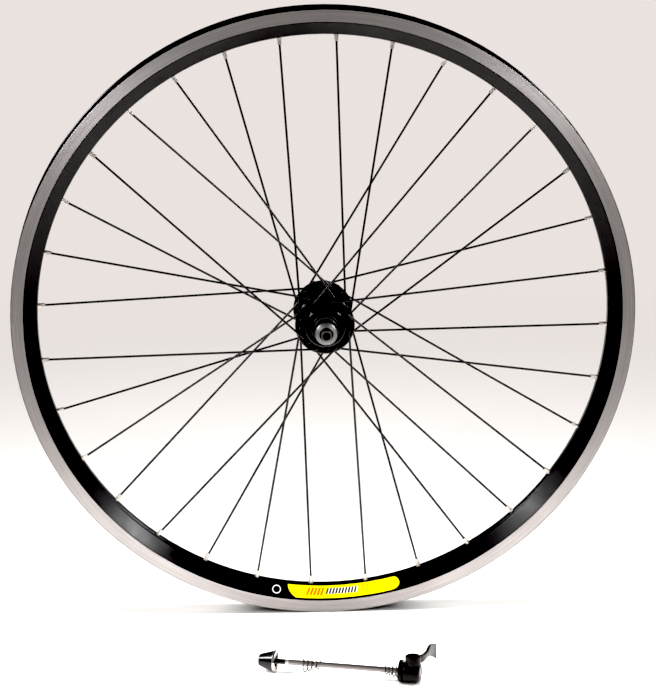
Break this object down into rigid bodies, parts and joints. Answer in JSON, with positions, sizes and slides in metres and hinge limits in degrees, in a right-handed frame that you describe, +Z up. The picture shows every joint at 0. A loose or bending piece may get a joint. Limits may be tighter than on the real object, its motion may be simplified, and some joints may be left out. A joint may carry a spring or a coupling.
{
  "type": "bicycle wheel",
  "caption": "Rear rim-brake bicycle wheel with crossed black spokes, gloss black hub, freehub and hollow axle, and its quick-release skewer lying in front.",
  "frame": {"origin": "centre of the wheel: on the axle's line, in the middle plane of the rim", "axes": "+Y along the axle towards the freehub (drive) side, -Y towards the left (non-drive) side, +Z up, +X to the right as seen from the left side"},
  "size_m": [0.5719, 0.2758, 0.572],
  "materials": {
    "rim_black": "gloss black anodised and lacquered, machined bare at the two brake tracks",
    "spoke_black": "satin black",
    "nipple_brass": "bright nickel plate over brass",
    "hub_black": "deep gloss black",
    "bearing_steel": "ground and oiled",
    "locknut_steel": "bright zinc, radially serrated",
    "axle_steel": "dark oxide",
    "rubber_black": "soft matte",
    "spacer_black": "semi gloss black",
    "freehub_steel": "satin zinc",
    "sleeve_alloy": "mill finish",
    "decal_yellow": "printed film",
    "rod_steel": "drawn bright",
    "skewer_black": "deep gloss black",
    "clamp_steel": "bright, serrated",
    "spring_steel": "bright wire",
    "plug_black": "moulded black"
  },
  "bodies": {
    "axle_assembly": {"hollow_axle": "axle_steel", "left_cone": "bearing_steel", "left_rubber_seal": "rubber_black", "left_spacer": "spacer_black", "left_locknut": "locknut_steel", "right_cone": "bearing_steel", "right_rubber_seal": "rubber_black", "right_spacer": "spacer_black", "right_locknut": "locknut_steel"},
    "wheel": {"rim": "rim_black", "rim_left_brake_wall": "rim_black", "rim_right_brake_wall": "rim_black", "rim_joint_sleeve": "sleeve_alloy", "rim_decals": "decal_yellow", "spoke_nipples": "nipple_brass", "left_pulling_spokes": "spoke_black", "left_static_spokes": "spoke_black", "right_pulling_spokes": "spoke_black", "right_static_spokes": "spoke_black", "hub_shell": "hub_black", "left_bearing_cup": "bearing_steel", "left_dust_cap": "spacer_black", "right_bearing_cup": "bearing_steel", "freehub_core": "bearing_steel", "freehub_fixing_bolt": "bearing_steel", "pawl_spring": "spring_steel"},
    "left_balls": {"left_hub_balls": "bearing_steel"},
    "right_balls": {"right_hub_balls": "bearing_steel"},
    "freehub": {"freehub_body": "freehub_steel"},
    "freehub_ball_rows": {"freehub_balls": "bearing_steel"},
    "first_pawl": {"pawl_a": "bearing_steel"},
    "second_pawl": {"pawl_b": "bearing_steel"},
    "third_pawl": {"pawl_c": "bearing_steel"},
    "skewer": {"cam_housing": "skewer_black", "housing_steel_ring": "clamp_steel", "housing_end_plug": "plug_black"},
    "lever": {"quick_release_lever": "skewer_black", "cam_shaft": "bearing_steel", "cam_shaft_clip": "spring_steel"},
    "rod": {"skewer_rod": "rod_steel"},
    "cone_nut": {"skewer_cone_nut": "skewer_black", "nut_steel_ring": "clamp_steel", "nut_thread_insert": "axle_steel"},
    "nut_spring": {"nut_end_spring": "spring_steel"},
    "lever_spring": {"lever_end_spring": "spring_steel"}
  },
  "joints": [
    {"name": "wheel_spin", "type": "hinge", "parent": "axle_assembly", "child": "wheel", "pos_m": [0, 0, 0], "axis": [0, 1, 0], "continuous": true},
    {"name": "left_ball_roll", "type": "hinge", "parent": "axle_assembly", "child": "left_balls", "pos_m": [0, 0, 0], "axis": [0, 1, 0], "continuous": true},
    {"name": "right_ball_roll", "type": "hinge", "parent": "axle_assembly", "child": "right_balls", "pos_m": [0, 0, 0], "axis": [0, 1, 0], "continuous": true},
    {"name": "freehub_spin", "type": "hinge", "parent": "wheel", "child": "freehub", "pos_m": [0, 0, 0], "axis": [0, 1, 0], "continuous": true},
    {"name": "freehub_ball_roll", "type": "hinge", "parent": "wheel", "child": "freehub_ball_rows", "pos_m": [0, 0, 0], "axis": [0, 1, 0], "continuous": true},
    {"name": "first_pawl_swing", "type": "hinge", "parent": "wheel", "child": "first_pawl", "pos_m": [0.0104, 0.0376, 0], "axis": [0, -1, 0], "range_deg": [-10, 0], "stiffness_Nm_per_rad": 0.003},
    {"name": "second_pawl_swing", "type": "hinge", "parent": "wheel", "child": "second_pawl", "pos_m": [-0.0052, 0.0376, 0.00901], "axis": [0, -1, 0], "range_deg": [-10, 0], "stiffness_Nm_per_rad": 0.003},
    {"name": "third_pawl_swing", "type": "hinge", "parent": "wheel", "child": "third_pawl", "pos_m": [-0.0052, 0.0376, -0.00901], "axis": [0, -1, 0], "range_deg": [-10, 0], "stiffness_Nm_per_rad": 0.003},
    {"name": "skewer_lift", "type": "slide", "parent": "axle_assembly", "child": "skewer", "axis": [0, 0, 1], "range_m": [0, 0.12]},
    {"name": "lever_swing", "type": "hinge", "parent": "skewer", "child": "lever", "pos_m": [0.06947, -0.19245, -0.276], "axis": [0, 0, -1], "range_deg": [0, 165]},
    {"name": "rod_draw", "type": "slide", "parent": "skewer", "child": "rod", "axis": [-0.965, 0.2622, 0], "range_m": [0, 0.0021]},
    {"name": "nut_turn", "type": "hinge", "parent": "rod", "child": "cone_nut", "pos_m": [-0.05637, -0.15826, -0.276], "axis": [-0.965, 0.2622, 0], "continuous": true},
    {"name": "nut_spring_slide", "type": "slide", "parent": "rod", "child": "nut_spring", "axis": [0.965, -0.2622, 0], "range_m": [-0.022, 0.05]},
    {"name": "lever_spring_slide", "type": "slide", "parent": "rod", "child": "lever_spring", "axis": [0.965, -0.2622, 0], "range_m": [-0.05, 0]}
  ],
  "couplings": [
    {"joint": "left_ball_roll", "follows": "wheel_spin", "ratio": 0.6134},
    {"joint": "right_ball_roll", "follows": "wheel_spin", "ratio": 0.6134},
    {"joint": "freehub_ball_roll", "follows": "freehub_spin", "ratio": 0.559},
    {"joint": "rod_draw", "follows": "lever_swing", "m_per_rad": 0.0006841}
  ]
}
